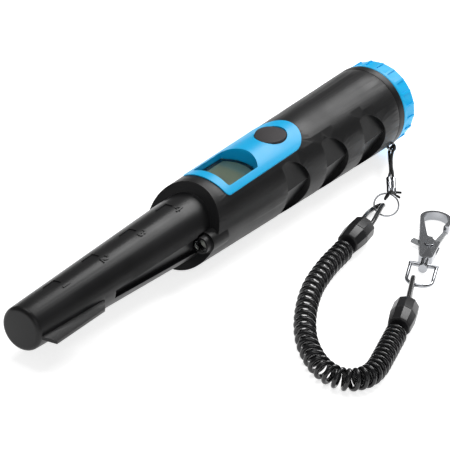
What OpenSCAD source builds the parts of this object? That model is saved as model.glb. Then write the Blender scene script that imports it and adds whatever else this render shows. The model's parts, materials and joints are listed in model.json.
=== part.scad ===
// Pinpointer probe: a hand-held metal detector for finding targets in loose soil.
// Millimetres. The probe lies on its grip on a flat surface, display upwards.
// +X runs from the tip to the battery cap, +Z is up, and the lamp is on the -Y side.

/* [Probe tube] */
// Distance along the axis from the flat tip to the middle of the grip's raked front face
tube_len = 110.4; // [109.5:0.1:111.5]
// Diameter of the tube at its tip
tip_d = 19; // [18.6:0.1:19.6]
// Diameter of the tube where it enters the grip
root_d = 26.4; // [26.2:0.1:26.6]
// How far the scraping blade stands out from the probe's axis
blade_reach = 15.4; // [13.5:0.1:16.5]

/* [Grip] */
// Diameter of the grip at its front face
grip_front_d = 34.8; // [34.6:0.1:35.2]
// Diameter of the grip at its rear rim
grip_rear_d = 39.8; // [39.6:0.1:40.2]
// Distance from the tip to the grip's rear rim
grip_end = 256; // [255.5:0.1:256.5]
// Rake of the front face, in degrees
rake = 22.8; // [18:0.2:25]
// Depth of the finger pockets at their rear edge
pocket_depth = 1.1; // [0.8:0.1:1.3]

/* [Display and button] */
// Width of the coloured display panel
panel_w = 24; // [23.6:0.1:24.6]
// Width of the display window
window_w = 18.8; // [18:0.1:19]
// Travel of the power button
press_travel = 0.5; // [0.3:0.1:0.6]

/* [Battery cap] */
// Overall diameter of the ribbed cap
cap_d = 39.2; // [38.6:0.1:39.4]
// Length of the cap behind the grip
cap_len = 9.6; // [8.5:0.1:11]
// Number of grip ribs round the cap
cap_ribs = 20; // [12:1:24]

/* [Lanyard] */
// Outer diameter of the curly cord
coil_d = 9.6; // [9:0.1:10]
// Diameter of the cord that the curly cord and its end loops are made of
cord_d = 2.1; // [1.8:0.1:2.2]
// Diameter of the thin strap between the grip and the small ring
strap_d = 1.3; // [1.1:0.1:1.4]

/* [Hidden] */
$fn = 96;

// Radii and the tilt at which the tapered grip lies flat
tip_r = tip_d / 2;
root_r = root_d / 2;
front_r = grip_front_d / 2;
rear_r = grip_rear_d / 2;
grip_slope = (rear_r - front_r) / (grip_end - tube_len);
tilt = atan(grip_slope);
lift = (front_r - grip_slope * tube_len) * cos(tilt);
cap_end = grip_end + cap_len;
cap_r = cap_d / 2;
centre_x = (cap_end * cos(tilt) + (cap_r - 1) * sin(tilt) - (tip_r - 2) * sin(tilt)) / 2;

// Wall thicknesses and shared stations along the axis
deck_r = 15;
bay_start = 185.5;
bay_r = 16.05;
bay_half_w = 13.5;
tube_root_x = 103;
tube_tail_x = 128.4;
socket_end = 126.5;
bore_start = 246;
spigot_r = 16.3;
bore_r = 16.6;
side = 94;
far = 400;

// Display, board and button heights above the axis
board_bottom = 8;
board_top = 9.6;
lcd_bottom = 10.2;
lcd_top = 11.4;
gasket_top = 11.95;
window_bottom = 11.97;
window_top = 12.8;
button_x = 173.4;
button_a = 8;
button_b = 6.4;
panel_proud = 0.4;
panel_skin = 1.9;

// Lamp on the side of the tube
lamp_off = 13.9;
lamp_r = 3;
lamp_boss_r = 4.7;
lamp_front = 103.6;

// Thread: two turns of 2 mm pitch free the cap
thread_pitch = 2;
thread_turns = 2;

// ---- helpers ----

// Radius of the grip's outside at a station on the axis
function grip_r(x) = front_r + grip_slope * (x - tube_len);

// Points of an arc, counted anticlockwise from a0 to a1
function arc(cx, cy, r, a0, a1, n) = [for (i = [0:n]) let (a = a0 + (a1 - a0) * i / n) [cx + r * cos(a), cy + r * sin(a)]];

// Points of an ellipse
function ellipse(a, b, n) = [for (i = [0:n - 1]) [a * cos(360 * i / n), b * sin(360 * i / n)]];

// Puts the probe's own axis frame at rest on the surface
module at_rest() {
  translate([-centre_x, 0, lift])
    rotate([0, -tilt, 0])
      children();
}

// Turns a child that points along +Z to point along +X
module along_x(x = 0) {
  translate([x, 0, 0])
    rotate([0, 90, 0])
      children();
}

// A cylinder along X
module rod(x0, x1, r) {
  along_x(x0)
    cylinder(h = x1 - x0, r = r);
}

// A tapered solid of revolution on the axis from [radius, station] points
module turned(points) {
  rotate([0, 90, 0])
    rotate_extrude()
      polygon(points);
}

// Turns a child's +Z to face round the axis, at an angle from the top towards -Y
module around(angle) {
  rotate([angle, 0, 0])
    children();
}

// Everything behind the raked front face, set back by a distance along its normal
module behind_rake(setback) {
  translate([tube_len, 0, 0])
    rotate([0, rake, 0])
      translate([setback, -far / 2, -far / 2])
        cube(far);
}

// Outline of the display panel in plan, grown by a margin
module panel_outline(m) {
  half = panel_w / 2 + m;
  rear_x = 176.2;
  nose_r = 60 + m;
  nose_x = 123.5 - m;
  corner = 2.5;
  nose_a = asin((half - corner) / nose_r);
  polygon(concat(
    arc(nose_x + nose_r, 0, nose_r, 180 - nose_a, 180 + nose_a, 12),
    arc(nose_x + nose_r * (1 - cos(nose_a)) + corner, -half + corner, corner, 190, 270, 5),
    arc(rear_x, 0, half, -90, 90, 32),
    arc(nose_x + nose_r * (1 - cos(nose_a)) + corner, half - corner, corner, 90, 170, 5)
  ));
}

// Outline of the display window in plan, grown by a margin
module window_outline(m) {
  half = window_w / 2 + m;
  front_x = 128.4 - m;
  shoulder_x = 150;
  bulge = 4.5 + m;
  tail_r = (half * half + bulge * bulge) / (2 * bulge);
  tail_a = asin(half / tail_r);
  corner = 1.4 + m / 2;
  polygon(concat(
    arc(shoulder_x + bulge - tail_r, 0, tail_r, -tail_a, tail_a, 16),
    arc(front_x + corner, half - corner, corner, 90, 180, 5),
    arc(front_x + corner, -half + corner, corner, 180, 270, 5)
  ));
}

// Outline of the oval power button in plan, grown by a margin
module button_outline(m) {
  translate([button_x, 0])
    polygon(ellipse(button_a + m, button_b + m, 48));
}

// A prism over a plan outline between two heights
module prism(z0, z1) {
  translate([0, 0, z0])
    linear_extrude(z1 - z0)
      children();
}

// A layer of the grip's outside between two offsets from its surface
module grip_layer(inner, outer, x0 = 100, x1 = 215) {
  turned([
    [grip_r(x0) + inner, x0],
    [grip_r(x0) + outer, x0],
    [grip_r(x1) + outer, x1],
    [grip_r(x1) + inner, x1]
  ]);
}

// Ring of section points round a route point, square to the direction of travel
function direction(path, i) = let (
    a = path[max(i - 1, 0)],
    b = path[min(i + 1, len(path) - 1)],
    d = b - a
  ) d / norm(d);
function side_of(d, up) = let (s = cross(up, d)) s / norm(s);
function ring_points(p, d, r, sides, up) = let (s = side_of(d, up), u = cross(d, s))
  [for (k = [0:sides - 1]) p + r * (cos(360 * k / sides) * s + sin(360 * k / sides) * u)];

// A tube swept along a route, which never runs along the up direction given
module cord(path, r, sides = 8, up = [0, 0, 1]) {
  n = len(path);
  points = [for (i = [0:n - 1]) each ring_points(path[i], direction(path, i), r, sides, up)];
  walls = [for (i = [0:n - 2]) for (k = [0:sides - 1])
    [i * sides + k, i * sides + (k + 1) % sides, (i + 1) * sides + (k + 1) % sides, (i + 1) * sides + k]];
  ends = [[for (k = [0:sides - 1]) sides - 1 - k], [for (k = [0:sides - 1]) (n - 1) * sides + k]];
  polyhedron(points, concat(ends, walls), convexity = 6);
}

// ---- tube and search head ----

tube_inner_tip = 7.6;
tube_inner_mid = 9.2;
tube_inner_root = 10.6;
blade_t = 1.5;
blade_root_front = 1.4;
blade_root_rear = 42;

module probe_tube() {
  edge = 2;
  nose = arc(tip_r - edge, edge, edge, -90, 0, 8);
  color("#1b1b1d")
    at_rest() {
      difference() {
        union() {
          turned(concat(
            [[0, 0]],
            nose,
            [[root_r, tube_root_x], [root_r, socket_end], [root_r - 0.6, socket_end],
            [root_r - 0.6, tube_tail_x], [0, tube_tail_x]]
          ));
          around(side)
            scraper_blade();
        }
        turned([
          [0, 2.2],
          [tube_inner_tip, 2.2],
          [tube_inner_mid, tube_root_x],
          [tube_inner_root, tube_root_x + 2],
          [tube_inner_root, tube_tail_x + 1],
          [0, tube_tail_x + 1]
        ]);
        around(side)
          light_channel();
        around(side)
          translate([0, 0, lamp_off])
            rod(lamp_front - 0.8, tube_tail_x - 2, lamp_boss_r);
        turned([[root_r - 0.8, 120], [root_r + 1, 120], [root_r + 1, 121.8], [root_r - 0.8, 121.8]]);
      }
    }
}

// The blade in its own frame: +Z points away from the axis
module scraper_blade() {
  rotate([90, 0, 0])
    translate([0, 0, -blade_t / 2])
      linear_extrude(blade_t)
        polygon([
          [blade_root_front, 8.2],
          [blade_root_front + 2.4, blade_reach],
          [blade_root_rear - 6, blade_reach - 0.6],
          [blade_root_rear, 10],
          [blade_root_rear, 8.8]
        ]);
}

// The tapered light channel sunk into the tube in front of the lamp
module light_channel() {
  channel_front = 48;
  channel_rear = 104;
  half_front = 1.9;
  half_rear = 3.9;
  depth_front = 9.1;
  depth_rear = 10.8;
  intersection() {
    translate([0, 0, -5])
      linear_extrude(30)
        polygon([
          [channel_front, -half_front],
          [channel_rear, -half_rear],
          [channel_rear, half_rear],
          [channel_front, half_front]
        ]);
    rotate([90, 0, 0])
      translate([0, 0, -8])
        linear_extrude(16)
          polygon([
            [channel_front, depth_front],
            [channel_rear, depth_rear],
            [channel_rear, 24],
            [channel_front, 24]
          ]);
  }
}

module tube_o_ring() {
  color("#101010")
    at_rest()
      turned([[root_r - 0.8, 120.1], [root_r, 120.1], [root_r, 121.7], [root_r - 0.8, 121.7]]);
}

module tube_lock_ring() {
  color("#2a2a2c")
    at_rest()
      difference() {
        rod(socket_end, tube_tail_x, 14);
        rod(socket_end - 1, tube_tail_x + 1, root_r - 0.6);
        around(side)
          translate([0, 0, lamp_off])
            rod(socket_end - 1, tube_tail_x + 1, 1);
      }
}

former_end = 86;
rod_r = 3.5;

module ferrite_rod() {
  color("#3c3c40")
    at_rest()
      rod(4, former_end - 2, rod_r);
}

// Bobbin with three flanges round the ferrite rod
module coil_former() {
  core_r = 4.3;
  flange_r = 7;
  color("#d9d4c4")
    at_rest()
      difference() {
        union() {
          rod(3.2, former_end, core_r);
          for (x = [6, 36, 50, 80])
            rod(x, x + 1.6, flange_r);
        }
        rod(4, former_end - 2, rod_r);
      }
}

// Two windings of enamelled copper wire
module search_coil() {
  wound_r = 6.6;
  core_r = 4.3;
  color("#b4622a")
    at_rest()
      for (x = [7.6, 51.6])
        difference() {
          rod(x, x + 28.4, wound_r);
          rod(x - 1, x + 30, core_r);
        }
}

// Route of the lead from the search coil back to the board
coil_lead_path = [
  [86.2, 0, 2], [92, 0, 3], [98, 1, 4], [104, 1, 5], [110, 0, 6], [116, 0, 7], [122, 0, 8], [127,
  0, 8.7], [130.4, 0, 8.8]
];

module coil_lead() {
  color("#8a1f1f")
    at_rest()
      cord(coil_lead_path, 0.9);
}

// ---- grip ----

module grip_shell() {
  color("#1b1b1d")
    at_rest()
      difference() {
        union() {
          intersection() {
            turned([[0, 90], [grip_r(90), 90], [grip_r(grip_end - 0.6), grip_end - 0.6],
              [rear_r - 0.6, grip_end], [0, grip_end]]);
            behind_rake(0);
          }
          around(side)
            translate([0, 0, lamp_off])
              lamp_boss();
        }
        rod(90, socket_end + 1, root_r);
        hollow();
        rod(bore_start, grip_end + 1, bore_r);
        prism(9, 13.4)
          button_outline(1.3);
        around(side)
          translate([0, 0, lamp_off])
            lamp_bores();
        intersection() {
          prism(5, 30)
            panel_outline(0);
          grip_layer(-panel_skin, 12);
        }
        prism(5, 30)
          window_outline(1.3);
        prism(5, 30)
          button_outline(0.35);
        for (turn = [side, -side])
          for (k = [0:2])
            around(turn)
              finger_pocket(162.5 + 30 * k, turn > 0 ? 1 : -1);
        around(staple_angle)
          staple_legs();
        rim_groove();
      }
}

// The space for the electronics and, behind it, the battery bay, with flat sides
module hollow() {
  rod(socket_end, 150, deck_r);
  intersection() {
    union() {
      rod(socket_end, bay_start + 1, deck_r);
      rod(bay_start, bore_start + 1, bay_r);
    }
    translate([socket_end, -bay_half_w, -20])
      cube([150, 2 * bay_half_w, 40]);
  }
}

// A shallow line round the grip just ahead of its rear rim
module rim_groove() {
  groove_x = 251.4;
  turned([
    [grip_r(groove_x) - 0.35, groove_x],
    [grip_r(groove_x) + 1, groove_x - 0.7],
    [grip_r(groove_x) + 1, groove_x + 0.7]
  ]);
}

// A D-shaped pocket that deepens towards its round rear edge, with a creased floor
module finger_pocket(x0, hand) {
  radius = 13.5;
  setback = 4;
  length = radius + setback;
  step = 0.15;
  crease = 3 * hand;
  lean_up = 28.5;
  lean_down = 19;
  surface = sqrt(pow(grip_r(x0), 2) - crease * crease) - step;
  pitch = atan((pocket_depth - step - grip_slope * length) / length);
  difference() {
    translate([0, 0, 4])
      intersection() {
        translate([x0 + setback, 0, 0])
          cylinder(h = 30, r = radius);
        translate([x0, -20, 0])
          cube([40, 40, 30]);
      }
    intersection() {
      pocket_floor(x0, crease, surface, pitch, -lean_up * hand);
      pocket_floor(x0, crease, surface, pitch, lean_down * hand);
    }
  }
}

// One flat of a pocket's floor: a block whose top passes through the crease
module pocket_floor(x0, crease, surface, pitch, lean) {
  translate([x0, crease, surface])
    rotate([0, pitch, 0])
      rotate([lean, 0, 0])
        translate([-30, -50, -50])
          cube([100, 100, 50]);
}

// Boss that carries the lamp, proud of the front face
module lamp_boss() {
  rod(lamp_front + 3.4, 118, lamp_boss_r);
  rod(lamp_front, lamp_front + 4, lamp_r + 0.8);
}

module lamp_bores() {
  rod(lamp_front - 1, 112, lamp_r);
  rod(110, socket_end + 1, 0.75);
}

module lamp_lens() {
  color("#d8dde0", 0.5)
    at_rest()
      around(side)
        translate([0, 0, lamp_off])
          rod(lamp_front + 0.3, lamp_front + 1.8, lamp_r);
}

module lamp_led() {
  led_r = 2.4;
  color("#f4f1dd")
    at_rest()
      around(side)
        translate([0, 0, lamp_off]) {
          rod(lamp_front + 5, 111.8, led_r);
          translate([lamp_front + 5, 0, 0])
            sphere(r = led_r);
          rod(110.8, 111.8, lamp_r);
        }
}

// Route of the lamp's lead in the frame that faces the side
lamp_lead_path = [
  [111.9, 0, 13.9], [116, 0, 13.9], [120, 0, 13.9], [124, 0, 13.9], [128, 0, 13.9], [130, 1.2, 13.8],
  [131.4, 3.6, 13.5], [132.6, 6.2, 12.9], [134, 8, 11.8]
];

module lamp_lead() {
  color("#c9c9c9")
    at_rest()
      around(side)
        cord(lamp_lead_path, 0.5);
}

// ---- display, button and electronics ----

module display_panel() {
  color("#1fb4ee")
    at_rest()
      difference() {
        union() {
          intersection() {
            prism(5, 30)
              panel_outline(0);
            grip_layer(-panel_skin, panel_proud);
          }
          intersection() {
            prism(lcd_top + 0.05, 30)
              window_outline(1.3);
            grip_layer(-12, panel_proud);
          }
        }
        prism(5, 30)
          window_outline(0);
        prism(5, 30)
          button_outline(0.35);
        rod(socket_end - 1, tube_tail_x + 0.3, 14.3);
      }
}

module display_window() {
  color("#dfe6e8", 0.35)
    at_rest()
      prism(window_bottom, window_top)
        window_outline(0);
}

// Soft frame between the window and the display glass
module display_gasket() {
  color("#0c0c0c")
    at_rest()
      prism(lcd_top + 0.05, gasket_top)
        difference() {
          window_outline(-0.02);
          window_outline(-1.1);
        }
}

module lcd_glass() {
  color("#7f8f76")
    at_rest()
      translate([129.4, -9.2, lcd_bottom])
        cube([25.4, 18.4, lcd_top - lcd_bottom]);
}

module lcd_backlight() {
  color("#e9e9e4")
    at_rest()
      translate([131, -8.6, board_top])
        cube([22.6, 17.2, lcd_bottom - board_top]);
}

module power_button() {
  skirt_bottom = 12;
  skirt_top = 13.3;
  crown = grip_r(button_x) + panel_proud + 0.5;
  color("#3a3839")
    at_rest() {
      intersection() {
        prism(skirt_bottom, 30)
          button_outline(0);
        translate([button_x, 0, crown - 40])
          sphere(r = 40);
      }
      prism(skirt_bottom, skirt_top)
        button_outline(0.9);
      translate([button_x, 0, 11.85])
        cylinder(h = 1, r = 1.7);
    }
}

module switch_plunger() {
  color("#d8d8d8")
    at_rest()
      translate([button_x, 0, board_top + 0.75])
        cylinder(h = 11.85 - board_top - 0.75, r = 1.6);
}

module tact_switch() {
  color("#1c1c1e")
    at_rest()
      difference() {
        translate([button_x - 3, -3, board_top])
          cube([6, 6, 1.6]);
        translate([button_x, 0, board_top + 0.2])
          cylinder(h = 3, r = 1.66);
      }
}

board_x0 = 130.5;
board_x1 = 188;
board_half_w = 11;
screw_places = [[156.8, -9], [156.8, 9], [184.5, -8.6], [184.5, 8.6]];
screw_r = 1;

module main_board() {
  color("#1c6b3c")
    at_rest()
      difference() {
        translate([board_x0, -board_half_w, board_bottom])
          cube([board_x1 - board_x0, 2 * board_half_w, board_top - board_bottom]);
        for (p = screw_places)
          translate([p[0], p[1], 0])
            cylinder(h = 20, r = screw_r);
      }
}

// Processor, amplifier and capacitors, all on the board's upper face
module board_chips() {
  color("#26262a")
    at_rest() {
      translate([158.8, -4, board_top])
        cube([6.6, 8, 1.2]);
      translate([166.2, 4.4, board_top])
        cube([3.6, 4, 1.4]);
      translate([164, -9, board_top])
        cube([4.5, 4, 1.2]);
      for (x = [160.6, 164.2])
        translate([x, 7, board_top])
          cylinder(h = 1.7, r = 1.5);
    }
}

// Four pan-head screws that hold the board to the chassis
module board_screws() {
  color("#b9bcc0")
    at_rest()
      for (p = screw_places)
        translate([p[0], p[1], 0]) {
          translate([0, 0, 5])
            cylinder(h = board_top - 5, r = screw_r);
          translate([0, 0, board_top])
            cylinder(h = 0.9, r = 1.6);
        }
}

deck_bottom = 4.4;
deck_top = 6;
bulkhead_x = 190;

// Tray under the board, with the bulkhead that closes the battery bay
module chassis() {
  color("#4a4a4d")
    at_rest()
      difference() {
        union() {
          translate([131, -12.4, deck_bottom])
            cube([bulkhead_x - 131, 24.8, deck_top - deck_bottom]);
          intersection() {
            rod(bulkhead_x, bulkhead_x + 2, bay_r - 0.1);
            translate([bulkhead_x, -bay_half_w + 0.1, -20])
              cube([2, 2 * bay_half_w - 0.2, 40]);
          }
          for (p = screw_places)
            translate([p[0], p[1], deck_bottom])
              cylinder(h = board_bottom - deck_bottom, r = 2);
        }
        for (p = screw_places)
          translate([p[0], p[1], 5])
            cylinder(h = 10, r = screw_r);
        translate([bulkhead_x - 1, 7, -8])
          cube([4, 3, 4]);
        translate([177.4, 9.8, 3.4])
          cube([4.8, 4, 4]);
      }
}

module buzzer() {
  buzzer_r = 9;
  color("#202024")
    at_rest()
      difference() {
        translate([144, 0, deck_bottom - 5])
          cylinder(h = 5, r = buzzer_r);
        translate([144, 0, deck_bottom - 5.5])
          cylinder(h = 1.5, r = 1.5);
      }
}

motor_z = 0.4;
motor_face = 174;

module vibration_motor() {
  shaft_r = 0.5;
  color("#b7babd")
    at_rest()
      translate([0, 0, motor_z]) {
        rod(162, motor_face, 3.5);
        rod(motor_face, motor_face + 5, shaft_r);
        translate([163, -2.5, 3])
          cube([10, 5, deck_bottom - motor_z - 3]);
      }
}

// Half-round weight that shakes the grip as it spins
module motor_weight() {
  shaft_gap = 0.55;
  color("#8c8f92")
    at_rest()
      translate([0, 0, motor_z])
        difference() {
          union() {
            intersection() {
              rod(motor_face + 0.6, motor_face + 4.6, 3.2);
              translate([motor_face, -4, -4])
                cube([6, 8, 4]);
            }
            rod(motor_face + 0.6, motor_face + 4.6, 1.3);
          }
          rod(motor_face, motor_face + 6, shaft_gap);
        }
}

battery_x = 199;
battery_len = 46.2;
battery_w = 26.2;
battery_h = 17.2;

// Nine volt block with its two snap terminals
module battery() {
  color("#c8a24a")
    at_rest() {
      translate([battery_x, -battery_w / 2, -battery_h / 2])
        cube([battery_len, battery_w, battery_h]);
      translate([0, -6.35, 0])
        rod(battery_x - 2, battery_x, 2.8);
      translate([0, 6.35, 0])
        rod(battery_x - 2, battery_x, 4);
    }
}

module battery_snap() {
  color("#141416")
    at_rest()
      difference() {
        translate([battery_x - 4.4, -12.5, -6])
          cube([4.2, 25, 12]);
        translate([0, -6.35, 0])
          rod(battery_x - 2, battery_x + 1, 2.8);
        translate([0, 6.35, 0])
          rod(battery_x - 2, battery_x + 1, 4);
      }
}

// Route of the battery lead through the bulkhead's slot to the board
battery_lead_path = [
  [194, 8.5, -4.8], [192.6, 8.5, -5.7], [191, 8.5, -6], [188.6, 8.7, -5.6], [186, 9.6, -3.8],
  [183.6, 10.6, -0.9],
  [181.6, 11.2, 2.2], [180.2, 11.4, 5], [178.9, 10.9, 7.4]
];

module battery_lead() {
  color("#a02020")
    at_rest()
      cord(battery_lead_path, 0.7, 8, [0, 1, 0.2]);
}

// ---- battery cap ----

spigot_x = 249;

module battery_cap() {
  band_end = grip_end + 2.2;
  land = 0.9;
  flat_r = cap_r - 0.7;
  color("#1fb4ee")
    at_rest() {
      difference() {
        turned([
          [0, cap_end - 2],
          [spigot_r - 2.2, cap_end - 2],
          [spigot_r - 2.2, spigot_x],
          [spigot_r, spigot_x],
          [spigot_r, 252],
          [spigot_r - 1.2, 252],
          [spigot_r - 1.2, 254],
          [spigot_r, 254],
          [spigot_r, grip_end + 0.1],
          [cap_r - 0.3, grip_end + 0.1],
          [cap_r, grip_end + 0.5],
          [cap_r, cap_end - 1],
          [cap_r - 1, cap_end],
          [0, cap_end]
        ]);
        for (k = [0:cap_ribs - 1])
          around(360 / cap_ribs * (k + 0.5))
            translate([band_end, -(flat_r * tan(180 / cap_ribs) - land / 2), flat_r])
              cube([cap_len, 2 * flat_r * tan(180 / cap_ribs) - land, 4]);
      }
      rod(250, cap_end - 1.5, 5);
    }
}

module cap_o_ring() {
  color("#101010")
    at_rest()
      turned([
        [spigot_r - 1.15, 252.1],
        [bore_r - 0.05, 252.1],
        [bore_r - 0.05, 253.9],
        [spigot_r - 1.15, 253.9]
      ]);
}

module cap_pad() {
  color("#3f4042")
    at_rest()
      rod(battery_x + battery_len + 0.3, 250, 8);
}

// ---- strap staple on the grip ----

staple_angle = 128;
staple_x = 252.9;
staple_wire = 0.7;
staple_half = 2.2;
staple_out = 0.6;

// The two holes that hold the staple's legs
module staple_legs() {
  for (s = [-1, 1])
    translate([staple_x + s * staple_half, 0, 17.2])
      cylinder(h = 8, r = staple_wire);
}

module strap_staple() {
  shoulder = grip_r(staple_x) + staple_out;
  color("#c4c7ca")
    at_rest()
      around(staple_angle) {
        for (s = [-1, 1])
          translate([staple_x + s * staple_half, 0, 17.6])
            cylinder(h = shoulder - 17.6, r = staple_wire);
        translate([staple_x, 0, shoulder])
          rotate([90, 0, 0])
            rotate_extrude(angle = 180)
              translate([staple_half, 0])
                circle(r = staple_wire);
      }
}

// ---- lanyard, lying on the surface beside the probe ----

strap_path = [
  [94.3, -33.1, 7.5], [97.4, -30.9, 8.3], [101.4, -28, 8], [106.4, -24.9, 7.2], [111.4, -21.9,
  6.9], [115.4, -19.9, 7.3],
  [118.2, -18.9, 8.2], [119.7, -18.1, 8.5], [120.2, -17.3, 8], [120.2, -16.5, 6.94], [120.1, -15.9,
  5.8], [119.4, -16, 4.9],
  [117.4, -17.3, 4.7], [113.4, -19.9, 4.9], [108.4, -23.2, 5.3], [103.4, -26.4, 6.1], [99.4, -28.7,
  6.7], [96.2, -30.2, 7.3],
  [93.2, -31.6, 7.5]
];

module strap_cord() {
  color("#121212")
    cord(strap_path, strap_d / 2, 8, [0.6, -0.8, 0]);
}

crimp_top = [93.6, -32.5, 7.4];
crimp_bottom = [86.7, -37.6, 4.5];
crimp_r = 1.25;

// Two short tubes pressed side by side round the strap's ends
module crimp_sleeve() {
  run = crimp_bottom - crimp_top;
  flat = norm([run[0], run[1]]);
  color("#d3d6d9")
    translate(crimp_top)
      rotate([0, 0, atan2(run[1], run[0])])
        rotate([0, 90 - atan2(run[2], flat), 0])
          for (s = [-1, 1])
            translate([0, s * 0.95, 0])
              cylinder(h = norm(run), r = crimp_r);
}

ring_r = 5.4;
ring_wire = 0.4;
ring_tilt = 38;
ring_heading = 31.3;
ring_centre = [76.5, -41.2, 4.3];

module wire_ring() {
  color("#c9ccd0")
    translate(ring_centre)
      rotate([0, 0, ring_heading])
        rotate([0, -ring_tilt, 0])
          rotate_extrude()
            translate([ring_r, 0])
              circle(r = ring_wire, $fn = 24);
}

tie_path = [
  [87, -38.5, 4.5], [85, -39.6, 5.2], [83, -40.2, 7.2], [81.2, -40.3, 8.8], [79.2, -40.2, 8.7],
  [77.9, -39.8, 7.2],
  [78.6, -39.1, 5.6], [81, -38, 4.5], [83.8, -37.2, 4], [86, -36.7, 4.3]
];

module ring_tie() {
  color("#121212")
    cord(tie_path, strap_d / 2, 8, [-0.5, 0.85, 0]);
}

upper_face = [49.5, -46, 5.8];
upper_back = [31.7, -49, 5.8];
lower_back = [-11.8, -101.6, 5.8];
lower_face = [5.2, -95.1, 5.8];

upper_loop_path = [
  [49.4, -43.9, 5.8], [54, -42.4, 5.7], [59, -40.7, 5], [63.6, -39.1, 3.9], [67.4, -37.8, 2.8],
  [70.6, -37, 2],
  [73.4, -36.8, 1.8], [75.6, -37.5, 2.3], [76.4, -39, 3.3], [75.2, -40.3, 4.2], [72.4, -41.2, 4.9],
  [68.6, -42.5, 5.3],
  [63.8, -44.2, 5.7], [58.8, -45.9, 5.9], [54, -47.2, 5.9], [50, -48.1, 5.8]
];

module upper_loop() {
  color("#141415")
    cord(upper_loop_path, cord_d / 2);
}

// A smooth barrel with a fine parting line round its middle
module ferrule(back, face) {
  ferrule_r = 5.7;
  run = face - back;
  length = norm(run);
  color("#161617")
    translate(back)
      rotate([0, 0, atan2(run[1], run[0])])
        rotate([0, 90, 0])
          rotate_extrude()
            polygon([
              [0, 0],
              [ferrule_r - 1.2, 0],
              [ferrule_r - 0.8, 0.4],
              [ferrule_r, length / 2 - 0.15],
              [ferrule_r - 0.15, length / 2],
              [ferrule_r, length / 2 + 0.15],
              [ferrule_r - 0.25, length - 0.4],
              [ferrule_r - 0.6, length],
              [0, length]
            ]);
}

module upper_ferrule() {
  ferrule(upper_back, upper_face);
}

module lower_ferrule() {
  ferrule(lower_back, lower_face);
}

coil_z = 4.9;
coil_route = [
  [31.6, -49], [24, -50.3], [14, -51.8], [4, -54], [-6, -56.8], [-16, -60.8], [-26, -65.8], [-36,
  -71.8], [-45, -78.5],
  [-52, -85.5], [-57.5, -93], [-60, -100.5], [-58.5, -107], [-52, -111], [-44, -111], [-34,
  -108.3], [-23, -105], [-11.9, -101.6]
];
coil_path = [for (p = coil_route) [p[0], p[1], coil_z]];

module coil_cord() {
  color("#1a1a1b")
    cord(coil_path, coil_d / 2, 12);
}

lower_loop_path = [
  [5.3, -95.1, 7.3], [9.6, -93.1, 7.2], [14, -91, 7], [18.4, -88.9, 6.6], [22.8, -86.8, 6.2],
  [26.6, -85, 5.9], [29, -83.9, 5.2],
  [30, -83.4, 3.7], [28.8, -84, 2], [25.6, -85.5, 1.1], [22, -87.2, 1.1], [18, -89.1, 1.2], [13.6,
  -91.2, 1.6], [9.6, -93.1, 2.6],
  [5.3, -95.1, 4.3]
];

module lower_loop() {
  color("#141415")
    cord(lower_loop_path, cord_d / 2, 8, [-0.4, 0.9, 0]);
}

// ---- snap hook ----

hook_place = [44.5, -80, 2.95];
hook_heading = 23.7;
hook_pitch = 1;
hook_t = 3.9;
rivet_u = 16.5;
rivet_r = 1.3;
eye_u = 41;
eye_outer = 7;
eye_inner = 5.5;

// The hook's own frame: +X runs from the D ring's bar to the nose
module at_hook() {
  translate(hook_place)
    rotate([0, hook_pitch, hook_heading])
      children();
}

module d_ring() {
  wire = 0.8;
  half = 5.6;
  leg = 13;
  color("#cfd2d6")
    at_hook() {
      difference() {
        union() {
          translate([0, -half, 0])
            rotate([-90, 0, 0])
              cylinder(h = 2 * half, r = 1);
          rod(-1.6, 1.6, 2.1);
        }
        rod(-5, 5, 1.35);
      }
      for (s = [-1, 1]) {
        translate([0, s * half, 0]) {
          sphere(r = 1);
          rod(-leg, 0, wire);
        }
      }
      translate([-leg, 0, 0])
        rotate([0, 0, 90])
          rotate_extrude(angle = 180)
            translate([half, 0])
              circle(r = wire);
    }
}

module hook_body() {
  shank_r = 1.3;
  slot = 1.9;
  color("#d6d9dc")
    at_hook() {
      difference() {
        union() {
          translate([0, 0, -hook_t / 2])
            linear_extrude(hook_t)
              difference() {
                hull() {
                  translate([eye_u, 0])
                    circle(r = eye_outer, $fn = 64);
                  translate([rivet_u, 0])
                    circle(r = 3.9, $fn = 48);
                  translate([6, 0])
                    circle(r = 3, $fn = 48);
                }
                hull() {
                  translate([eye_u, 0])
                    circle(r = eye_inner, $fn = 64);
                  translate([25, 0.2])
                    circle(r = 1.7, $fn = 48);
                }
                polygon([[22.6, -0.6], [34.4, -2.6], [35.6, -9], [20, -9], [20, -2.4]]);
              }
          rod(1.9, 5, 2);
        }
        translate([rivet_u, 0, 0])
          cylinder(h = 20, r = rivet_r, center = true);
        translate([rivet_u - 4.3, -9, -slot / 2])
          cube([14.5, 18, slot]);
      }
      rod(-3.4, 2, shank_r);
      rod(-3.4, -1.9, 1.95);
    }
}

// Gate and thumb piece in one flat stamping that turns on the rivet
module hook_lever() {
  lever_t = 1;
  lever_z = -0.85;
  color("#c2c5c9")
    at_hook()
      translate([0, 0, lever_z])
        difference() {
          union() {
            translate([rivet_u, 0, 0])
              cylinder(h = lever_t, r = 3.2);
            linear_extrude(lever_t)
              polygon([[rivet_u + 0.5, -3.1], [eye_u - 7.6, -6], [eye_u - 7.2, -4.5],
                [rivet_u + 3.2, -0.8]]);
            linear_extrude(lever_t)
              polygon([[rivet_u + 0.4, 2.6], [rivet_u + 3.6, 8.3], [rivet_u + 6.4, 7.3],
                [rivet_u + 3, 1]]);
          }
          translate([rivet_u, 0, -1])
            cylinder(h = 4, r = rivet_r + 0.06);
        }
}

module hook_rivet() {
  color("#e2e4e6")
    at_hook()
      translate([rivet_u, 0, 0]) {
        cylinder(h = hook_t, r = rivet_r, center = true);
        translate([0, 0, hook_t / 2])
          cylinder(h = 0.5, r = 2.1);
      }
}

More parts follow.
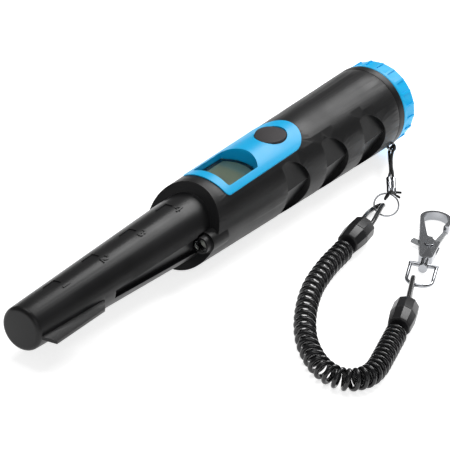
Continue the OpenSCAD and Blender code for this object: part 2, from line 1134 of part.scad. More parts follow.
// Flat-wound return spring round the rivet
module hook_spring() {
  color("#9a9da1")
    at_hook()
      translate([rivet_u, 0, 0.2])
        difference() {
          cylinder(h = 0.6, r = 2.6);
          translate([0, 0, -1])
            cylinder(h = 3, r = rivet_r + 0.3);
        }
}

probe_tube();
tube_o_ring();
tube_lock_ring();
ferrite_rod();
coil_former();
search_coil();
coil_lead();
grip_shell();
lamp_lens();
lamp_led();
lamp_lead();
display_panel();
display_window();
display_gasket();
lcd_glass();
lcd_backlight();
power_button();
switch_plunger();
tact_switch();
main_board();
board_chips();
board_screws();
chassis();
buzzer();
vibration_motor();
motor_weight();
battery();
battery_snap();
battery_lead();
battery_cap();
cap_o_ring();
cap_pad();
strap_staple();
strap_cord();
crimp_sleeve();
ring_tie();
wire_ring();
upper_loop();
upper_ferrule();
coil_cord();
lower_ferrule();
lower_loop();
d_ring();
hook_body();
hook_lever();
hook_rivet();
hook_spring();
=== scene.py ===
import json
import math

import bmesh
import bpy
from mathutils import Matrix, Vector


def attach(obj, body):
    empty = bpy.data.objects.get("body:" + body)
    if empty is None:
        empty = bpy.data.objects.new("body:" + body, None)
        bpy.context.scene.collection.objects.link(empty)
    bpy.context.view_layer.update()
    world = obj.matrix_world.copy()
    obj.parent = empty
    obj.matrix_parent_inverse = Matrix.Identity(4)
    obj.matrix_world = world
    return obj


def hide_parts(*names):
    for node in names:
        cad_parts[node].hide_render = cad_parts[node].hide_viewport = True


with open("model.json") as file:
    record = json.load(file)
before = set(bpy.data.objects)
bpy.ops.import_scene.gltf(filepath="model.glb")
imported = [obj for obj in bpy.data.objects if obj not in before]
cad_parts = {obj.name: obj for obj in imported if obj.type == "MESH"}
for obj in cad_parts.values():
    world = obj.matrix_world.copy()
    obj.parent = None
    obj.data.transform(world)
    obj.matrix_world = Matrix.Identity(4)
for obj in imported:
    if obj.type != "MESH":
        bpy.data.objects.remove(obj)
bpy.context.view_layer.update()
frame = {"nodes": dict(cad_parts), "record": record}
nodes = frame["nodes"]
mm = 0.001
print("nodes in the frame:", len(nodes))

# %% [markdown]
# ## The probe's own axis
# The grip tapers, so the probe lies slightly nose up. It is easier to think along its axis, from the
# flat tip at 0 to the cap at 265.6, and to turn finished work into the resting place with one matrix.
# %% Place of the probe's axis
grip_front_x, grip_front_r = 110.4, 17.4
grip_rear_x, grip_rear_r = 256, 19.9
cap_end_x, cap_edge_r = 265.6, 18.6
tip_edge_r = 7.5
axis_slope = (grip_rear_r - grip_front_r) / (grip_rear_x - grip_front_x)
tilt = math.atan(axis_slope)
lift = (grip_front_r - axis_slope * grip_front_x) * math.cos(tilt)
half_length = (cap_end_x * math.cos(tilt) + (cap_edge_r - tip_edge_r) * math.sin(tilt)) / 2
at_rest = (
    Matrix.Scale(mm, 4)
    @ Matrix.Translation((-half_length, 0, lift))
    @ Matrix.Rotation(-tilt, 4, "Y")
)
print("tilt in degrees:", round(math.degrees(tilt), 2))


def radius_of_tube(x):
    """Outer radius of the probe tube at a station on the axis."""
    tip_x, tip_r = 2, 9.5
    root_x, root_r = 103, 13.2
    return tip_r + (root_r - tip_r) * (x - tip_x) / (root_x - tip_x)


# %% [markdown]
# ## Camera
# A long lens keeps the tube from looking swollen at the near end. The camera looks down at 29 degrees
# from the tip's side, with a slight roll, so that the probe runs from corner to corner.
# %% Camera
bearing = math.radians(-58.7)
elevation = math.radians(29.03)
roll = math.radians(6.5)
backwards = Vector(
    (
        math.sin(bearing) * math.cos(elevation),
        -math.cos(bearing) * math.cos(elevation),
        math.sin(elevation),
    )
)
camera_data = bpy.data.cameras.new("camera")
camera_data.lens = 246.15
camera_data.sensor_width = 36
camera_data.clip_start = 0.05
camera_data.clip_end = 20
camera = bpy.data.objects.new("camera", camera_data)
bpy.context.scene.collection.objects.link(camera)
turn = backwards.to_track_quat("Z", "Y").to_matrix().to_4x4() @ Matrix.Rotation(roll, 4, "Z")
camera.matrix_world = Matrix.Translation((-0.97218, -0.5979, 0.6429)) @ turn
bpy.context.scene.camera = camera

# %% [markdown]
# ## Smooth lines for cords
# A cord is laid along a few points. A Catmull-Rom curve passes through all of them without corners,
# and walking along it in equal steps gives an even line to wind or to thicken.
# %% Smooth line helpers


def smooth_line(points, step):
    """Points at equal steps along a Catmull-Rom curve through the given points."""
    p = [Vector(q) for q in points]
    p = [2 * p[0] - p[1]] + p + [2 * p[-1] - p[-2]]
    fine = []
    for i in range(1, len(p) - 2):
        for k in range(24):
            t = k / 24
            a = 2 * p[i]
            b = (p[i + 1] - p[i - 1]) * t
            c = (2 * p[i - 1] - 5 * p[i] + 4 * p[i + 1] - p[i + 2]) * t * t
            d = (3 * p[i] - 3 * p[i + 1] + p[i + 2] - p[i - 1]) * t * t * t
            fine.append(0.5 * (a + b + c + d))
    fine.append(p[-2])
    line = [fine[0]]
    left = step
    for a, b in zip(fine, fine[1:]):
        gap = (b - a).length
        while gap >= left:
            a = a + (b - a) * (left / gap)
            line.append(a)
            gap = (b - a).length
            left = step
        left -= gap
    if (line[-1] - fine[-1]).length > 0.3 * step:
        line.append(fine[-1])
    else:
        line[-1] = fine[-1]
    return line


def line_length(line):
    """Length of a line of points."""
    return sum((b - a).length for a, b in zip(line, line[1:]))


def cord_along(name, line, thickness):
    """A round cord as a curve of one open spline, in metres, from points in millimetres."""
    data = bpy.data.curves.new(name, "CURVE")
    data.dimensions = "3D"
    data.bevel_depth = thickness / 2 * mm
    data.bevel_resolution = 4
    data.use_fill_caps = True
    data.twist_mode = "MINIMUM"
    spline = data.splines.new("POLY")
    spline.points.add(len(line) - 1)
    for place, point in zip(spline.points, line):
        place.co = (*(point * mm), 1)
    spline.use_smooth = True
    cord = bpy.data.objects.new(name, data)
    bpy.context.scene.collection.objects.link(cord)
    print(name, "length in mm:", round(line_length(line), 1))
    return cord


# %% [markdown]
# ## Finishes
# Each finish starts from one recipe, because moulded plastic, rubber and plate all share the same few
# facts: a grain at one scale, slow patches of colour and gloss, and edges that handling has polished.
# The edge comes from a Bevel node: where its rounded normal leaves the true normal, there is an edge.
# %% Recipe for a finish


def finish(
    name, colour, roughness, grain=900, depth=0.03, patch=0.15, wear=0.25,
    edge=(0.2, 0.2, 0.2), metal=0.0, coat=0.0
):
    """A procedural finish: base colour with patches, grain as bump, and polished edges."""
    material = bpy.data.materials.new(name)
    material.use_nodes = True
    tree = material.node_tree
    shader = tree.nodes["Principled BSDF"]
    shader.inputs["Metallic"].default_value = metal
    shader.inputs["Coat Weight"].default_value = coat
    shader.inputs["Coat Roughness"].default_value = 0.12

    def node(kind, **settings):
        made = tree.nodes.new(kind)
        for key, value in settings.items():
            setattr(made, key, value)
        return made

    def link(a, b):
        tree.links.new(a, b)

    place = node("ShaderNodeTexCoord")
    slow = node("ShaderNodeTexNoise")
    slow.inputs["Scale"].default_value = 45
    slow.inputs["Detail"].default_value = 5
    link(place.outputs["Object"], slow.inputs["Vector"])
    fine = node("ShaderNodeTexNoise")
    fine.inputs["Scale"].default_value = grain
    fine.inputs["Detail"].default_value = 3
    link(place.outputs["Object"], fine.inputs["Vector"])

    shade = node("ShaderNodeValToRGB")
    shade.color_ramp.elements[0].position = 0.3
    shade.color_ramp.elements[1].position = 0.7
    shade.color_ramp.elements[0].color = (*[c * (1 - patch) for c in colour], 1)
    shade.color_ramp.elements[1].color = (*[min(1, c * (1 + patch)) for c in colour], 1)
    link(slow.outputs["Fac"], shade.inputs["Fac"])

    rounded = node("ShaderNodeBevel", samples=4)
    rounded.inputs["Radius"].default_value = 0.0005
    true = node("ShaderNodeNewGeometry")
    same = node("ShaderNodeVectorMath", operation="DOT_PRODUCT")
    link(rounded.outputs["Normal"], same.inputs[0])
    link(true.outputs["Normal"], same.inputs[1])
    worn = node("ShaderNodeMapRange")
    worn.inputs["From Min"].default_value = 0.99
    worn.inputs["From Max"].default_value = 0.86
    worn.inputs["To Max"].default_value = wear
    link(same.outputs["Value"], worn.inputs["Value"])
    broken = node("ShaderNodeMath", operation="MULTIPLY")
    link(worn.outputs["Result"], broken.inputs[0])
    link(fine.outputs["Fac"], broken.inputs[1])
    mixed = node("ShaderNodeMix", data_type="RGBA")
    link(broken.outputs["Value"], mixed.inputs["Factor"])
    link(shade.outputs["Color"], mixed.inputs["A"])
    mixed.inputs["B"].default_value = (*edge, 1)
    link(mixed.outputs["Result"], shader.inputs["Base Color"])

    gloss = node("ShaderNodeMapRange")
    gloss.inputs["From Min"].default_value = 0.3
    gloss.inputs["From Max"].default_value = 0.7
    gloss.inputs["To Min"].default_value = roughness * 0.85
    gloss.inputs["To Max"].default_value = min(1, roughness * 1.15)
    link(slow.outputs["Fac"], gloss.inputs["Value"])
    link(gloss.outputs["Result"], shader.inputs["Roughness"])
    shader.inputs["Specular IOR Level"].default_value = 0.5 if metal else 0.28

    bump = node("ShaderNodeBump")
    bump.inputs["Strength"].default_value = 1
    bump.inputs["Distance"].default_value = depth * mm
    link(fine.outputs["Fac"], bump.inputs["Height"])
    link(bump.outputs["Normal"], shader.inputs["Normal"])
    return material


# %% [markdown]
# The tube is smooth satin plastic, the grip is spark-eroded and a little rougher, and the blue parts
# are a brighter satin. The lanyard's cord is glossy, its barrels are satin, and the hook is plated.
# %% The finishes
tube_finish = finish(
    "satin_tube", (0.006, 0.006, 0.0065), 0.34, grain=1600, depth=0.012, edge=(0.12, 0.12, 0.12)
)
grip_finish = finish(
    "sparked_grip", (0.006, 0.006, 0.0065), 0.42, grain=1500, depth=0.03, edge=(0.12, 0.12, 0.12)
)
blue_finish = finish(
    "blue_moulding", (0.002, 0.52, 0.98), 0.38, grain=1500, depth=0.008, patch=0.05,
    edge=(0.12, 0.70, 1.0)
)
button_finish = finish(
    "button_rubber", (0.045, 0.040, 0.042), 0.62, grain=1300, depth=0.03, edge=(0.15, 0.15, 0.15)
)
rubber_finish = finish("seal_rubber", (0.012, 0.012, 0.012), 0.7, grain=900, depth=0.02)
black_finish = finish("black_moulding", (0.016, 0.016, 0.017), 0.42, grain=1200, depth=0.02)
barrel_finish = finish(
    "barrel_black", (0.010, 0.010, 0.011), 0.30, grain=1200, depth=0.01, edge=(0.25, 0.25,
    0.25), wear=0.6
)
cord_finish = finish("glossy_cord", (0.006, 0.006, 0.007), 0.22, grain=700, depth=0.01, coat=0.4)
plate_finish = finish(
    "nickel_plate", (0.36, 0.37, 0.39), 0.14, grain=500, depth=0.006, patch=0.06, edge=(0.75,
    0.75, 0.75), metal=1
)
steel_finish = finish(
    "plain_steel", (0.16, 0.165, 0.17), 0.32, grain=900, depth=0.01, edge=(0.8, 0.8, 0.8), metal=1
)
copper_finish = finish(
    "enamelled_copper", (0.55, 0.20, 0.06), 0.3, grain=600, depth=0.02, metal=1, coat=0.5
)
ferrite_finish = finish("ferrite", (0.04, 0.04, 0.045), 0.55, grain=1200, depth=0.03)
white_finish = finish("white_moulding", (0.70, 0.67, 0.58), 0.5, grain=900, depth=0.02, patch=0.05)
board_finish = finish("green_lacquer", (0.01, 0.16, 0.05), 0.28, grain=500, depth=0.02, coat=0.4)
red_wire_finish = finish("red_insulation", (0.45, 0.02, 0.02), 0.35, grain=900, depth=0.01)
foil_finish = finish("printed_foil", (0.50, 0.33, 0.09), 0.3, grain=500, depth=0.02, metal=0.6)
foam_finish = finish("open_foam", (0.05, 0.05, 0.055), 0.9, grain=1800, depth=0.3)
strap_finish = finish("braided_strap", (0.006, 0.006, 0.006), 0.6, grain=2600, depth=0.12)

# %% [markdown]
# ## Clear parts
# The display window and the lamp lens let light through, with a faint haze so that they read as
# plastic and not as a hole. Transmission is set on the shader, and haze comes from a fine noise.
# %% Clear finish


def clear_finish(name, tint, haze):
    """Clear moulded plastic with a trace of haze."""
    material = bpy.data.materials.new(name)
    material.use_nodes = True
    tree = material.node_tree
    shader = tree.nodes["Principled BSDF"]
    shader.inputs["Transmission Weight"].default_value = 1
    shader.inputs["IOR"].default_value = 1.3
    shader.inputs["Base Color"].default_value = (*tint, 1)
    place = tree.nodes.new("ShaderNodeTexCoord")
    noise = tree.nodes.new("ShaderNodeTexNoise")
    noise.inputs["Scale"].default_value = 200
    tree.links.new(place.outputs["Object"], noise.inputs["Vector"])
    spread = tree.nodes.new("ShaderNodeMapRange")
    spread.inputs["To Min"].default_value = haze * 0.5
    spread.inputs["To Max"].default_value = haze
    tree.links.new(noise.outputs["Fac"], spread.inputs["Value"])
    tree.links.new(spread.outputs["Result"], shader.inputs["Roughness"])
    return material


window_finish = clear_finish("clear_window", (0.93, 0.96, 0.95), 0.06)
lens_finish = clear_finish("clear_lens", (0.80, 0.84, 0.86), 0.12)

# %% [markdown]
# ## From engineering part to moulded part
# The engineering mesh has the right shape and knife edges. A copy of it is merged into one skin, its
# flat runs are joined, its sharp edges are marked, and a Bevel modifier rounds just those.
# %% Dress a node


def keep_as_piece(piece, body, slot, *stands_for):
    """Parents a finished piece to its body's empty and hides the nodes that it stands for."""
    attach(piece, body)
    if stands_for:
        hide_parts(*stands_for)
    return piece


def body_of_node(name):
    """The CAD body that a node belongs to."""
    for body, members in frame["record"]["behaviour"]["bodies"].items():
        if name in members:
            return body
    return "root"


def slot_of_node(name):
    """The record's material slot of a node."""
    return next(s["material_slot"] for s in frame["record"]["subparts"] if s["node"] == name)


def dress(name, material, rounding=0.25, sharp=28, segments=3):
    """A merged copy of a CAD node with smooth curved faces and rounded edges."""
    mesh = nodes[name].data.copy()
    mesh.name = name + "_dressed"
    work = bmesh.new()
    work.from_mesh(mesh)
    bmesh.ops.remove_doubles(work, verts=work.verts, dist=0.000002)
    bmesh.ops.dissolve_limit(work, angle_limit=math.radians(0.6), verts=work.verts, edges=work.edges)
    for face in work.faces:
        face.smooth = True
    work.to_mesh(mesh)
    work.free()
    mesh.set_sharp_from_angle(angle=math.radians(sharp))
    mesh.materials.clear()
    mesh.materials.append(material)
    piece = bpy.data.objects.new(name + "_skin", mesh)
    bpy.context.scene.collection.objects.link(piece)
    if rounding > 0:
        edge = piece.modifiers.new("edges", "BEVEL")
        edge.width = rounding * mm
        edge.segments = segments
        edge.limit_method = "ANGLE"
        edge.angle_limit = math.radians(sharp)
        edge.harden_normals = True
    keep_as_piece(piece, body_of_node(name), slot_of_node(name), name)
    print(name, "skin faces:", len(mesh.polygons))
    return piece


# %% [markdown]
# ## Lanyard, upper half
# The strap is a thin braided cord that passes through the staple on the grip and back, into a pair of
# crimped tubes. Below them its small loop holds a wire ring, and the curly cord's end loop hangs on it.
# %% Strap and its small loop
strap_route = [
    (94.3, -33.1, 7.5), (97.4, -30.9, 8.3), (101.4, -28, 8), (106.4, -24.9, 7.2),
    (111.4, -21.9, 6.9), (115.4, -19.9, 7.3), (118.2, -18.9, 8.2), (119.7, -18.1, 8.5),
    (120.2, -17.3, 8), (120.2, -16.5, 6.94), (120.1, -15.9, 5.8), (119.4, -16, 4.9),
    (117.4, -17.3, 4.7), (113.4, -19.9, 4.9), (108.4, -23.2, 5.3), (103.4, -26.4, 6.1),
    (99.4, -28.7, 6.7), (96.2, -30.2, 7.3), (93.2, -31.6, 7.5),
]
tie_route = [
    (87, -38.5, 4.5), (85, -39.6, 5.2), (83, -40.2, 7.2), (81.2, -40.3, 8.8), (79.2, -40.2, 8.7),
    (77.9, -39.8, 7.2), (78.6, -39.1, 5.6), (81, -38, 4.5), (83.8, -37.2, 4), (86, -36.7, 4.3),
]
strap_line = smooth_line(strap_route, 0.6)
strap_thickness = 1.3
strap = cord_along("strap", strap_line, strap_thickness)
strap.data.materials.append(strap_finish)
keep_as_piece(strap, "root", "strap_black", "strap_cord")
tie = cord_along("strap_end_loop", smooth_line(tie_route, 0.5), strap_thickness)
tie.data.materials.append(strap_finish)
keep_as_piece(tie, "root", "strap_black", "ring_tie")

# %% [markdown]
# ## Turned pieces
# Barrels, rings and sleeves are turned shapes. A half profile is drawn as a wire and spun round its
# axis, and a full spin is merged where it meets itself. Few steps give flats, many give a true round.
# %% Spin helper


def spun(name, profile, place, steps=48, closed=False, material=None):
    """A profile of (along, out) points spun round the X axis, then put in place."""
    work = bmesh.new()
    made = [work.verts.new((along, 0, out)) for along, out in profile]
    edges = [work.edges.new(pair) for pair in zip(made, made[1:])]
    if closed:
        edges.append(work.edges.new((made[-1], made[0])))
    bmesh.ops.spin(
        work, geom=made + edges, cent=(0, 0, 0), axis=(1, 0, 0), angle=math.tau, steps=steps,
        use_merge=True,
    )
    bmesh.ops.remove_doubles(work, verts=work.verts, dist=0.0001)
    bmesh.ops.recalc_face_normals(work, faces=work.faces)
    for face in work.faces:
        face.smooth = True
    bmesh.ops.transform(work, matrix=place, verts=work.verts)
    mesh = bpy.data.meshes.new(name)
    work.to_mesh(mesh)
    work.free()
    mesh.set_sharp_from_angle(angle=math.radians(35))
    if material:
        mesh.materials.append(material)
    piece = bpy.data.objects.new(name, mesh)
    bpy.context.scene.collection.objects.link(piece)
    return piece


def pointing(start, end):
    """A matrix, in metres, that puts the X axis along a line between two points in millimetres."""
    run = Vector(end) - Vector(start)
    turned = run.to_track_quat("X", "Z").to_matrix().to_4x4()
    return Matrix.Scale(mm, 4) @ Matrix.Translation(start) @ turned


# %% [markdown]
# The two cut ends of the strap stick out below the crimped tubes.
# %% Cut ends of the strap
tail_thickness = 1.1
for name, route in (
    ("strap_cut_end_1", [(87.6, -37.9, 4.6), (88.6, -39.2, 4.9), (89.8, -40.8, 4.9)]),
    ("strap_cut_end_2", [(87.2, -38.2, 3.9), (87.9, -39.7, 3.6), (88.3, -41.3, 3.1)]),
):
    tail = cord_along(name, smooth_line(route, 0.4), tail_thickness)
    tail.data.materials.append(strap_finish)
    keep_as_piece(tail, "root", "strap_black")

# %% [markdown]
# The crimp sleeve is two soft metal tubes side by side, pressed until they grip the strap. Each is a
# spun wall with a waist where the pliers bit, and the strap goes in at one end and out at the other.
# %% Crimp sleeve
crimp_top = Vector((93.6, -32.5, 7.4))
crimp_bottom = Vector((86.7, -37.6, 4.5))
crimp_length = (crimp_bottom - crimp_top).length
wall_profile = [
    (0, 0.8), (0, 1.12), (0.25, 1.25), (crimp_length * 0.4, 1.2), (crimp_length * 0.5, 1.14),
    (crimp_length * 0.6, 1.2), (crimp_length - 0.25, 1.25), (crimp_length, 1.12),
    (crimp_length, 0.8),
]
across = (crimp_bottom - crimp_top).cross(Vector((0, 0, 1))).normalized()
for number, side in enumerate((-0.98, 0.98)):
    shift = Matrix.Translation(across * side * mm)
    place = shift @ pointing(crimp_top, crimp_bottom)
    tube = spun("crimp_tube_%d" % (number + 1), wall_profile, place, 32, True, plate_finish)
    keep_as_piece(tube, "root", "steel", *(["crimp_sleeve"] if number == 0 else []))

# %% [markdown]
# The small ring is one turn of spring wire. It leans on its edge between the two loops.
# %% Wire ring
ring_heading = math.radians(31.3)
ring_tilt = math.radians(38)
ring_place = (
    Matrix.Scale(mm, 4)
    @ Matrix.Translation((76.5, -41.2, 4.3))
    @ Matrix.Rotation(ring_heading, 4, "Z")
    @ Matrix.Rotation(-ring_tilt, 4, "Y")
    @ Matrix.Rotation(math.radians(90), 4, "Y")
)
ring_wire_r, ring_r, wire_sides = 0.4, 5.4, 12
wire_profile = [
    (
        ring_wire_r * math.cos(math.tau * k / wire_sides),
        ring_r + ring_wire_r * math.sin(math.tau * k / wire_sides),
    )
    for k in range(wire_sides)
]
ring = spun("small_wire_ring", wire_profile, ring_place, 72, True, plate_finish)
keep_as_piece(ring, "root", "steel", "wire_ring")

# %% [markdown]
# ## Curly cord
# The cord is wound on a rod and heated, so it keeps its curl. The helix is wound round a smooth line:
# at each step, one vector points sideways out of the line and one upwards, and the wire turns round
# them. Where the cord is stretched the turns stand apart, so the pitch changes along the way.
# %% Wind the curly cord
coil_points = [
    (31.6, -49), (24, -50.3), (14, -51.8), (4, -54), (-6, -56.8), (-16, -60.8), (-26, -65.8),
    (-36, -71.8), (-45, -78.5), (-52, -85.5), (-57.5, -93), (-60, -100.5), (-58.5, -107),
    (-52, -111), (-44, -111), (-34, -108.3), (-23, -105), (-11.9, -101.6),
]
coil_centre = smooth_line([(x, y, 4.9) for x, y in coil_points], 0.1)
wire = 2.1
winding_radius = 4.8 - wire / 2
steps_per_turn = 22

# Part of the way along, and the pitch there: the long side is stretched, the bottom bend is tight
stretch = [
    (0, 3.4), (0.12, 4.2), (0.3, 5.0), (0.5, 5.4), (0.62, 4.2), (0.72, 3.1), (0.85, 3.3), (1, 3.2),
]


def pitch_at(part):
    """Distance between turns, in mm, part of the way from the upper barrel to the lower one."""
    for (start, before), (end, after) in zip(stretch, stretch[1:]):
        if part <= end:
            return before + (after - before) * (part - start) / (end - start)
    return stretch[-1][1]


helix = []
walked = 0.0
phase = 0.0
total = line_length(coil_centre)
next_phase = 0.0
for here, ahead in zip(coil_centre, coil_centre[1:]):
    forward = (ahead - here).normalized()
    sideways = forward.cross(Vector((0, 0, 1))).normalized()
    gap = (ahead - here).length
    walked += gap
    phase += math.tau * gap / pitch_at(walked / total)
    while phase >= next_phase:
        ease = min(1, walked / 2.5, (total - walked) / 2.5)
        radius = winding_radius * max(0.55, ease)
        turn_out = sideways * math.cos(next_phase) + Vector((0, 0, 1)) * math.sin(next_phase)
        helix.append(here + turn_out * radius)
        next_phase += math.tau / steps_per_turn
print("turns of the curly cord:", round(phase / math.tau, 1))
curly = cord_along("curly_cord", helix, wire)
curly.data.bevel_resolution = 3
curly.data.materials.append(cord_finish)
keep_as_piece(curly, "root", "cord_black", "coil_cord")

# %% [markdown]
# ## Barrels
# A moulded barrel grips each end of the curly cord. Its sides are flats that meet in soft edges, it
# is widest at the parting line in the middle, and its end face carries a lighter rim.
# %% Barrels
upper_back, upper_face = (31.7, -49, 5.8), (49.5, -46, 5.8)
lower_back, lower_face = (-11.8, -101.6, 5.8), (5.2, -95.1, 5.8)


def barrel(name, back, face, node):
    """A ten-sided barrel between two points."""
    length = (Vector(face) - Vector(back)).length
    half = length / 2
    profile = [
        (0.0, 0), (0.0, 4.3), (0.3, 4.75), (1, 5.0), (half - 0.5, 5.68), (half - 0.2, 5.7),
        (half - 0.12, 5.5), (half + 0.12, 5.5), (half + 0.2, 5.7), (half + 0.5, 5.68),
        (length - 0.7, 5.5), (length - 0.15, 5.35), (length, 5.0), (length, 4.1),
        (length - 0.35, 3.9), (length - 0.35, 0),
    ]
    made = spun(name, profile, pointing(back, face), 10, False, barrel_finish)
    soft = made.modifiers.new("soft_edges", "BEVEL")
    soft.width = 0.45 * mm
    soft.segments = 3
    soft.limit_method = "ANGLE"
    soft.angle_limit = math.radians(24)
    soft.harden_normals = True
    return keep_as_piece(made, "root", "black_plastic", node)


upper_barrel = barrel("upper_barrel", upper_back, upper_face, "upper_ferrule")
lower_barrel = barrel("lower_barrel", lower_back, lower_face, "lower_ferrule")

# %% [markdown]
# The end loops are the same cord without its curl. Each leaves its barrel, goes through its ring and
# comes back, so both of its ends are inside the barrel.
# %% End loops
upper_loop_route = [
    (49, -44, 5.8), (54, -42.4, 5.7), (59, -40.7, 5), (63.6, -39.1, 3.9), (67.4, -37.8, 2.8),
    (70.6, -37, 2), (73.4, -36.8, 1.8), (75.6, -37.5, 2.3), (76.4, -39, 3.3), (75.2, -40.3, 4.2),
    (72.4, -41.2, 4.9), (68.6, -42.5, 5.3), (63.8, -44.2, 5.7), (58.8, -45.9, 5.9),
    (54, -47.2, 5.9), (49.5, -48.2, 5.8),
]
lower_loop_route = [
    (4.7, -95.3, 7.3), (9.6, -93.1, 7.2), (14, -91, 7), (18.4, -88.9, 6.6), (22.8, -86.8, 6.2),
    (26.6, -85, 5.9), (29, -83.9, 5.2), (30, -83.4, 3.7), (28.8, -84, 2), (25.6, -85.5, 1.1),
    (22, -87.2, 1.1), (18, -89.1, 1.2), (13.6, -91.2, 1.6), (9.6, -93.1, 2.6), (4.7, -95.3, 4.3),
]
loops = {}
for name, route, node in (
    ("upper_end_loop", upper_loop_route, "upper_loop"),
    ("lower_end_loop", lower_loop_route, "lower_loop"),
):
    line = smooth_line(route, 0.7)
    loop = cord_along(name, line, wire)
    loop.data.materials.append(cord_finish)
    keep_as_piece(loop, "root", "cord_black", node)
    loops[name] = loop

# %% [markdown]
# ## Snap hook
# The hook is a zinc casting with nickel plate, so every edge is round and every face mirrors the room.
# Its lever is a stamping of plain steel, which looks darker.
# %% Hook and D ring
dress("d_ring", plate_finish, 0.15, 40)
dress("hook_body", plate_finish, 0.55, 30, 4)
dress("hook_lever", steel_finish, 0.2, 30)
dress("hook_rivet", plate_finish, 0.2, 30)
nodes["hook_spring"].data.materials.clear()
nodes["hook_spring"].data.materials.append(steel_finish)

# %% [markdown]
# ## Tube, grip, panel and cap
# The large mouldings keep their engineering shape and gain the small radii that a mould gives.
# %% Large mouldings
dress("probe_tube", tube_finish, 0.3, 28)
dress("grip_shell", grip_finish, 0.3, 20)
dress("display_panel", blue_finish, 0.3, 30)
dress("power_button", button_finish, 0.5, 30)
dress("battery_cap", blue_finish, 0.35, 25)
dress("strap_staple", plate_finish, 0, 35)

# %% [markdown]
# ## Small and inner pieces
# Pieces that are hidden inside still get the finish of what they are, for anyone who takes it apart.
# %% Finishes of the small pieces
plain_nodes = {
    "tube_o_ring": rubber_finish, "tube_lock_ring": black_finish, "ferrite_rod": ferrite_finish,
    "coil_former": white_finish, "search_coil": copper_finish, "coil_lead": red_wire_finish,
    "lamp_lens": lens_finish, "lamp_led": white_finish, "lamp_lead": red_wire_finish,
    "display_window": window_finish, "display_gasket": rubber_finish,
    "lcd_backlight": white_finish, "switch_plunger": white_finish, "tact_switch": black_finish,
    "main_board": board_finish, "board_chips": black_finish, "board_screws": steel_finish,
    "chassis": black_finish, "buzzer": black_finish, "vibration_motor": steel_finish,
    "motor_weight": steel_finish, "battery": foil_finish, "battery_snap": black_finish,
    "battery_lead": red_wire_finish, "cap_o_ring": rubber_finish, "cap_pad": foam_finish,
}
for name, material in plain_nodes.items():
    nodes[name].data.materials.clear()
    nodes[name].data.materials.append(material)

# %% [markdown]
# The display is a grey-green reflective glass, slightly mottled. The black gasket above it frames it.
# %% Display glass
lcd_finish = finish(
    "display_glass", (0.20, 0.25, 0.16), 0.35, grain=400, depth=0.002, patch=0.06, wear=0, coat=0.6
)
nodes["lcd_glass"].data.materials.clear()
nodes["lcd_glass"].data.materials.append(lcd_finish)

# %% [markdown]
# ## Inch scale on the tube
# Raised marks on top of the tube tell how deep the target lies. The numbers are plain text turned
# into a mesh, then each point is dropped onto the tube so that it follows the round surface. Each inch
# also has a tick round the tube and a thin line along it, which meet in a corner.
# %% Scale marks
inch_mm = 25.4
digit_size = 6.5


def raised_on_tube(name, work):
    """Wraps a flat bmesh, drawn in mm with X along the tube and Y round it, onto the tube."""
    for vert in work.verts:
        radius = radius_of_tube(vert.co.x)
        angle = vert.co.y / radius
        out = radius + vert.co.z
        vert.co = Vector((vert.co.x, out * math.sin(angle), out * math.cos(angle)))
    bmesh.ops.transform(work, matrix=at_rest, verts=work.verts)
    mesh = bpy.data.meshes.new(name)
    work.to_mesh(mesh)
    work.free()
    mesh.materials.append(tube_finish)
    piece = bpy.data.objects.new(name, mesh)
    bpy.context.scene.collection.objects.link(piece)
    return keep_as_piece(piece, "root", "tube_plastic")


def raised_bar(name, x, y, size):
    """A raised bar of a size in mm, centred at a place on the flat layout."""
    work = bmesh.new()
    bmesh.ops.create_cube(work, size=1)
    bmesh.ops.subdivide_edges(work, edges=work.edges, cuts=4, use_grid_fill=True)
    bmesh.ops.transform(work, matrix=Matrix.Diagonal((*size, 1)), verts=work.verts)
    bmesh.ops.translate(work, vec=(x, y, -0.1), verts=work.verts)
    raised_on_tube(name, work)


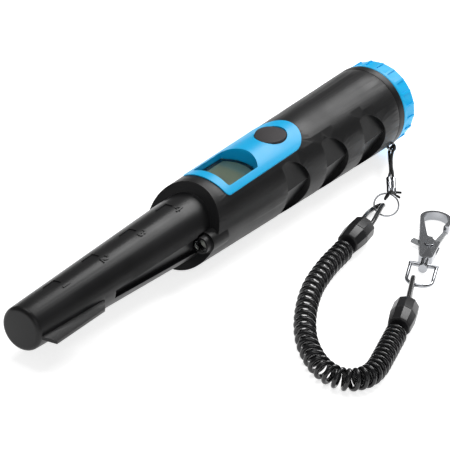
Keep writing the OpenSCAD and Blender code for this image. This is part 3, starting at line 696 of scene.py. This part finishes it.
for inch in range(1, 5):
    mark_x = inch_mm * inch
    raised_bar("scale_tick_%d" % inch, mark_x, 2.2, (0.55, 3.6, 0.9))
    raised_bar("scale_line_%d" % inch, mark_x - 3.7, 3.8, (6.6, 0.4, 0.7))
    words = bpy.data.curves.new("number", "FONT")
    words.body = str(inch)
    words.size = digit_size
    words.extrude = 0.35
    words.align_x = "CENTER"
    words.align_y = "CENTER"
    flat = bpy.data.objects.new("number", words)
    bpy.context.scene.collection.objects.link(flat)
    bpy.context.view_layer.update()
    evaluated = flat.evaluated_get(bpy.context.evaluated_depsgraph_get())
    mesh = bpy.data.meshes.new_from_object(evaluated)
    bpy.data.objects.remove(flat)
    work = bmesh.new()
    work.from_mesh(mesh)
    bmesh.ops.remove_doubles(work, verts=work.verts, dist=0.0005)
    quarter = Matrix.Rotation(math.radians(-90), 3, "Z")
    bmesh.ops.rotate(work, cent=(0, 0, 0), matrix=quarter, verts=work.verts)
    bmesh.ops.translate(work, vec=(mark_x, -2.4, 0), verts=work.verts)
    raised_on_tube("scale_number_%d" % inch, work)

# %% [markdown]
# ## Floor and light
# The studio is a wide pale sweep that glows a little, so the shadow stays faint. A large light over the
# cap end makes the broad streak along the tube, and two weak ones open up the near side.
# %% Studio
work = bmesh.new()
bmesh.ops.create_grid(work, x_segments=1, y_segments=1, size=4)
floor_mesh = bpy.data.meshes.new("floor")
work.to_mesh(floor_mesh)
work.free()
floor = bpy.data.objects.new("floor", floor_mesh)
bpy.context.scene.collection.objects.link(floor)
floor.location.z = -0.0002
floor_finish = bpy.data.materials.new("pale_floor")
floor_finish.use_nodes = True
floor_shader = floor_finish.node_tree.nodes["Principled BSDF"]
floor_shader.inputs["Base Color"].default_value = (0.85, 0.85, 0.85, 1)
floor_shader.inputs["Emission Color"].default_value = (1, 1, 1, 1)
floor_shader.inputs["Emission Strength"].default_value = 0.72
floor_shader.inputs["Roughness"].default_value = 0.9
floor_mesh.materials.append(floor_finish)

world = bpy.data.worlds.new("studio")
bpy.context.scene.world = world
world.use_nodes = True
world.node_tree.nodes["Background"].inputs["Color"].default_value = (1, 1, 1, 1)
world.node_tree.nodes["Background"].inputs["Strength"].default_value = 0.22


def soft_light(name, place, aim, width, height, power):
    """A large rectangular light that faces a point."""
    data = bpy.data.lights.new(name, "AREA")
    data.shape = "RECTANGLE"
    data.size = width
    data.size_y = height
    data.energy = power
    lamp = bpy.data.objects.new(name, data)
    bpy.context.scene.collection.objects.link(lamp)
    facing = (Vector(place) - Vector(aim)).to_track_quat("Z", "Y").to_matrix().to_4x4()
    lamp.matrix_world = Matrix.Translation(place) @ facing


soft_light("long_key", (0.95, 0.03, 0.85), (0, 0, 0), 0.7, 0.5, 9)
soft_light("front_fill", (-0.8, -0.9, 0.7), (0, 0, 0), 0.8, 0.8, 2.5)
soft_light("top_fill", (0.0, 0.2, 1.0), (0, 0, 0), 0.6, 0.6, 3)
bpy.context.scene.view_settings.view_transform = "Standard"
